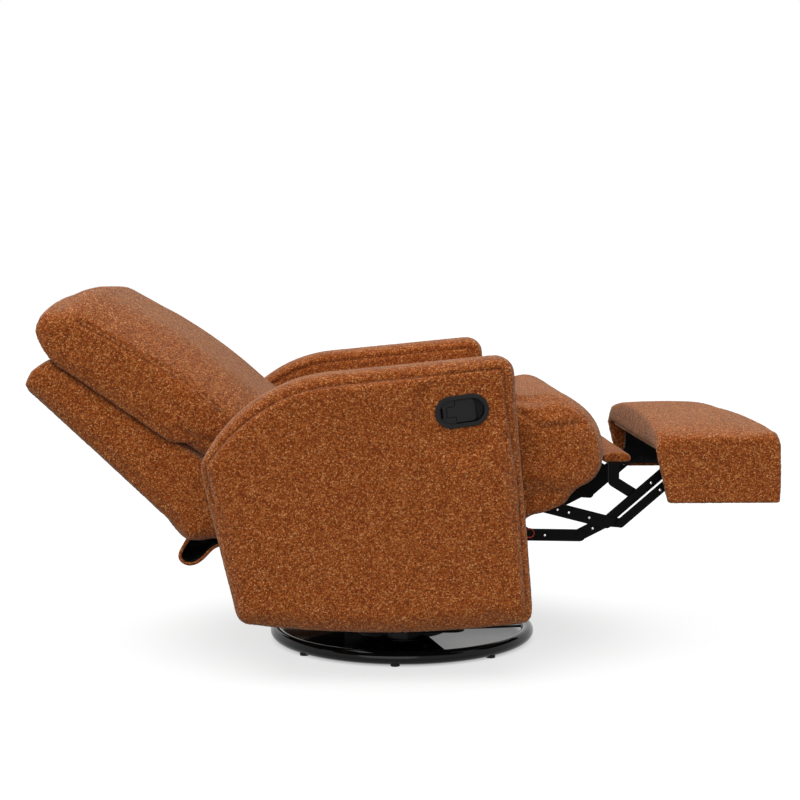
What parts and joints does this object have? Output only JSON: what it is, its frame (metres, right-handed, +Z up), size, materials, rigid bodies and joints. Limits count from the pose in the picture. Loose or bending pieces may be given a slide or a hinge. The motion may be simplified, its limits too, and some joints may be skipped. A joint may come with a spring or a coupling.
{
  "type": "swivel glider recliner",
  "caption": "Upholstered armchair on a round swivel glider base, shown reclined with its folding footrest extended",
  "frame": {"origin": "on the floor, under the swivel pin at the centre of the floor ring", "axes": "+X is where the chair faces, +Y is the sitter's left, +Z is up; shown reclined with the footrest out"},
  "size_m": [1.4073, 0.783, 0.7308],
  "materials": {
    "rust_boucle": "nubbly rust looped weave",
    "gloss_black": "gloss black enamel",
    "black_steel": "satin black coat",
    "bare_steel": "bare zinc plated",
    "black_plastic": "fine moulded grain",
    "nylon": "natural nylon",
    "hardwood": "planed, unfinished",
    "black_lining": "thin woven lining"
  },
  "bodies": {
    "base": {"base_ring": "gloss_black", "floor_glides": "black_plastic", "base_cross": "gloss_black", "swivel_plate_lower": "black_steel", "swivel_race": "nylon", "king_pin": "bare_steel"},
    "carriage": {"swivel_plate_upper": "black_steel", "carriage_plate": "black_steel", "glide_brackets": "black_steel", "glide_pins_upper": "bare_steel"},
    "front_links": {"glide_links_front": "black_steel"},
    "rear_links": {"glide_links_rear": "black_steel"},
    "chassis": {"glide_beams": "black_steel", "glide_pins_lower": "bare_steel", "side_rail_left": "hardwood", "side_rail_right": "hardwood", "cross_rail_front": "hardwood", "cross_rail_rear": "hardwood", "seat_guide_rods": "bare_steel", "guide_posts": "black_steel", "arm_left": "rust_boucle", "arm_right": "rust_boucle", "latch_cup": "black_plastic", "latch_pin": "bare_steel"},
    "latch": {"latch_lever": "black_plastic"},
    "seat": {"seat_cushion": "rust_boucle", "seat_side_left": "rust_boucle", "seat_side_right": "rust_boucle", "seat_rail_rear": "hardwood", "seat_rail_front": "hardwood", "seat_springs": "bare_steel", "seat_sliders": "nylon", "mechanism_rails": "hardwood", "mount_plates": "black_steel", "mount_pins": "bare_steel", "seat_hinge_plates": "black_steel", "hinge_pins": "bare_steel"},
    "back": {"back_shell": "rust_boucle", "back_hinge_plates": "black_steel", "back_cushion": "rust_boucle", "rear_flap": "rust_boucle"},
    "upper_rear_bars": {"upper_rear_bar_left": "black_steel", "upper_rear_bar_right": "black_steel", "upper_rear_bar_pins": "bare_steel", "drive_tube": "black_steel"},
    "lower_rear_bars": {"lower_rear_bar_left": "black_steel", "lower_rear_bar_right": "black_steel", "lower_rear_bar_pins": "bare_steel"},
    "upper_front_bars": {"upper_front_bar_left": "black_steel", "upper_front_bar_right": "black_steel", "upper_front_bar_pins": "bare_steel"},
    "lower_front_bars": {"lower_front_bar_left": "black_steel", "lower_front_bar_right": "black_steel", "lower_front_bar_pins": "bare_steel"},
    "ottoman": {"ottoman_cover": "rust_boucle", "ottoman_board": "hardwood", "ottoman_brackets": "black_steel"},
    "flipper": {"flipper_board": "rust_boucle", "flipper_brackets": "black_steel"}
  },
  "joints": [
    {"name": "swivel", "type": "hinge", "parent": "base", "child": "carriage", "pos_m": [0, 0, 0], "axis": [0, 0, 1], "continuous": true},
    {"name": "glide", "type": "hinge", "parent": "carriage", "child": "front_links", "pos_m": [0.09, 0, 0.1985], "axis": [0, 1, 0], "range_deg": [-20, 20]},
    {"name": "glide_rear", "type": "hinge", "parent": "carriage", "child": "rear_links", "pos_m": [-0.09, 0, 0.1985], "axis": [0, 1, 0], "range_deg": [-20, 20]},
    {"name": "chassis_hang", "type": "hinge", "parent": "front_links", "child": "chassis", "pos_m": [0.09, 0, 0.0785], "axis": [0, 1, 0], "range_deg": [-20, 20]},
    {"name": "latch_pull", "type": "hinge", "parent": "chassis", "child": "latch", "pos_m": [0.0623, -0.383, 0.49319], "axis": [0.1392, 0, -0.9903], "range_deg": [0, 22], "stiffness_Nm_per_rad": 1.5},
    {"name": "seat_slide", "type": "slide", "parent": "chassis", "child": "seat", "axis": [1, 0, 0], "range_m": [-0.0451, 0]},
    {"name": "recline", "type": "hinge", "parent": "seat", "child": "back", "pos_m": [-0.3, 0, 0.3905], "axis": [0, 1, 0], "range_deg": [0, 42]},
    {"name": "footrest", "type": "hinge", "parent": "seat", "child": "upper_rear_bars", "pos_m": [0.211, 0, 0.3095], "axis": [0, 1, 0], "range_deg": [0, 90]},
    {"name": "lower_rear_fold", "type": "hinge", "parent": "seat", "child": "lower_rear_bars", "pos_m": [0.1595, 0, 0.2835], "axis": [0, 1, 0], "range_deg": [0, 90]},
    {"name": "upper_front_fold", "type": "hinge", "parent": "upper_rear_bars", "child": "upper_front_bars", "pos_m": [0.387, 0, 0.2635], "axis": [0, 1, 0], "range_deg": [-90, 0]},
    {"name": "lower_front_fold", "type": "hinge", "parent": "upper_rear_bars", "child": "lower_front_bars", "pos_m": [0.4135, 0, 0.2615], "axis": [0, 1, 0], "range_deg": [-90, 0]},
    {"name": "ottoman_fold", "type": "hinge", "parent": "upper_front_bars", "child": "ottoman", "pos_m": [0.501, 0, 0.362], "axis": [0, 1, 0], "range_deg": [0, 90]},
    {"name": "flipper_fold", "type": "hinge", "parent": "upper_front_bars", "child": "flipper", "pos_m": [0.44514, 0, 0.31373], "axis": [0, 1, 0], "range_deg": [0, 90]}
  ],
  "couplings": [
    {"joint": "glide_rear", "follows": "glide", "ratio": 1},
    {"joint": "chassis_hang", "follows": "glide", "ratio": -1},
    {"joint": "seat_slide", "follows": "recline", "m_per_rad": -0.061388},
    {"joint": "lower_rear_fold", "follows": "footrest", "ratio": 1},
    {"joint": "upper_front_fold", "follows": "footrest", "ratio": -1},
    {"joint": "lower_front_fold", "follows": "footrest", "ratio": -1},
    {"joint": "ottoman_fold", "follows": "footrest", "ratio": 1},
    {"joint": "flipper_fold", "follows": "footrest", "ratio": 1}
  ]
}
